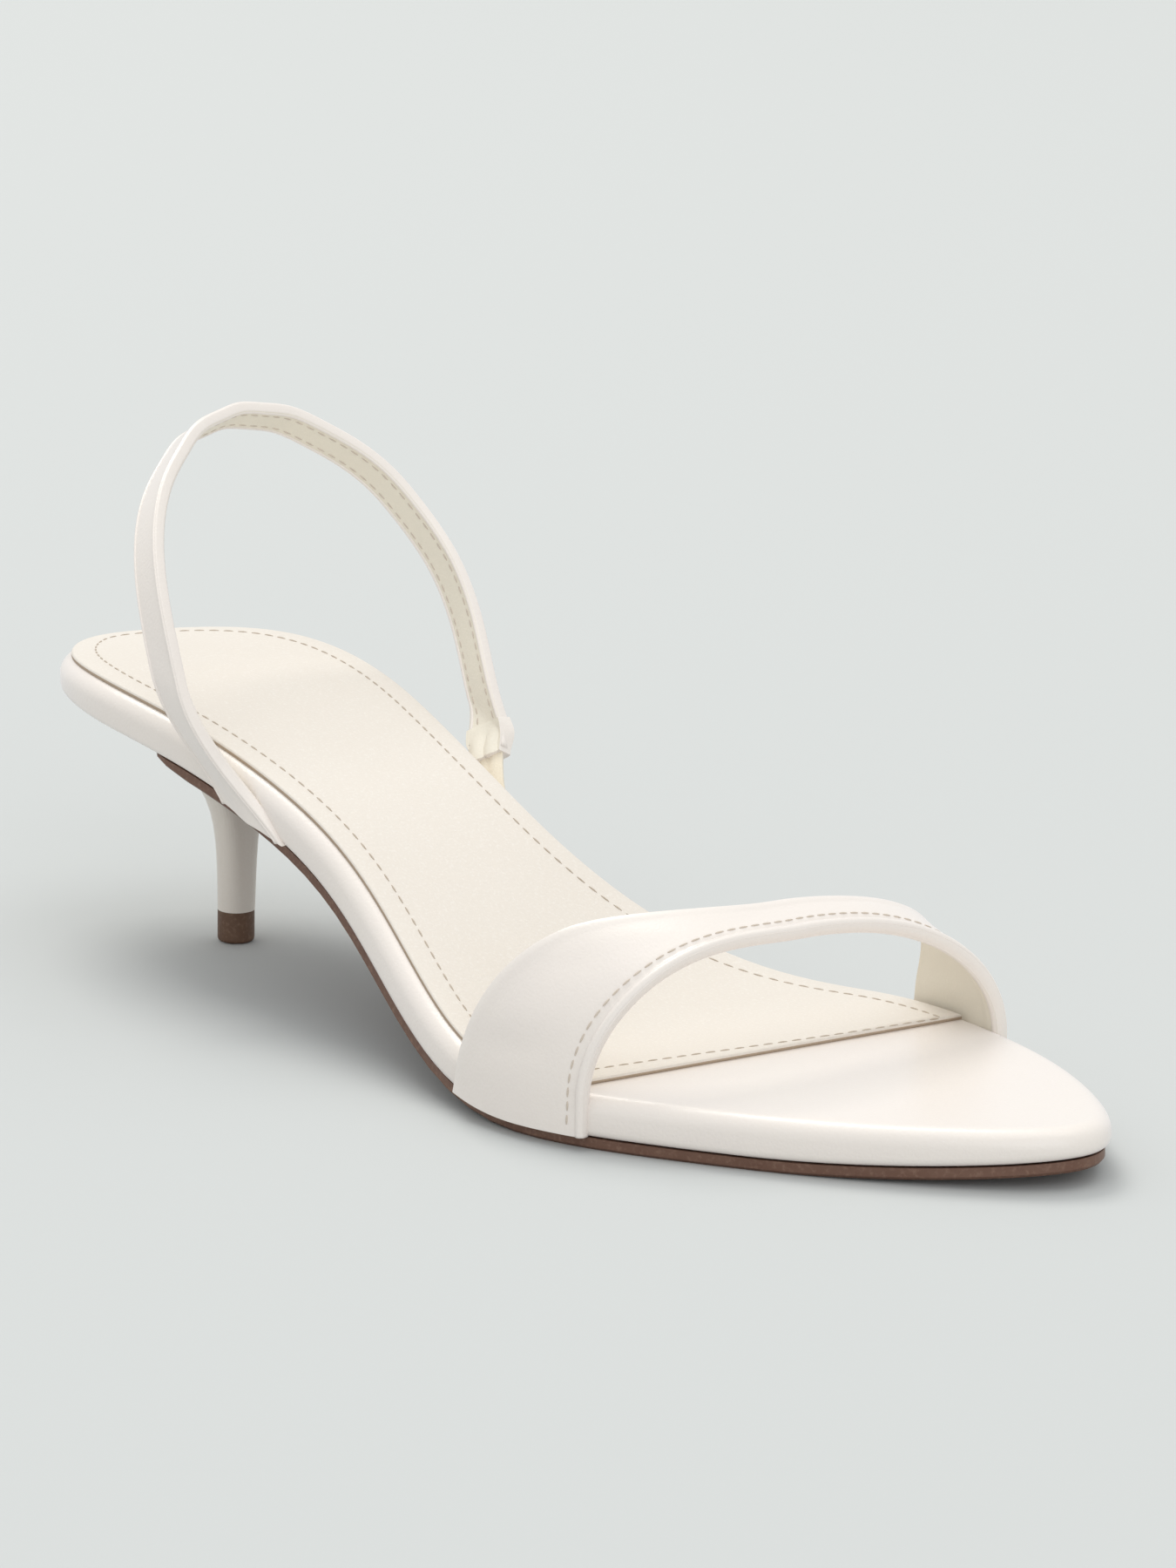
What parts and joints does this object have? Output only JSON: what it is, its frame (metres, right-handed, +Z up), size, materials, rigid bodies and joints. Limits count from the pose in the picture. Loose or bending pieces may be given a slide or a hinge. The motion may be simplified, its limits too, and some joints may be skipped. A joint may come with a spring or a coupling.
{
  "type": "kitten heel sandal",
  "caption": "Slingback sandal for the right foot with a slim kitten heel, one wide curved vamp strap over the toes, an elasticated sling strap and a pointed footbed.",
  "frame": {"origin": "middle of the heel tip's flat bottom, on the floor", "axes": "+X to the toe, +Y to the inner side of the foot, +Z up"},
  "size_m": [0.2359, 0.0857, 0.0952],
  "materials": {
    "footbed_wrap": "pearly ivory, satin",
    "strap_leather": "pearly ivory, satin, cream lining",
    "elastic": "cream, woven, matte",
    "outsole": "brown, matte",
    "sock_lining": "off-white, matte",
    "heel_cover": "greige, satin",
    "heel_tip": "dark brown, matte"
  },
  "bodies": {
    "root": {"footbed": "footbed_wrap", "vamp_strap": "strap_leather", "sling_strap": "strap_leather", "elastic": "elastic", "outsole": "outsole", "sock": "sock_lining", "heel": "heel_cover", "heel_tip": "heel_tip"}
  },
  "joints": []
}
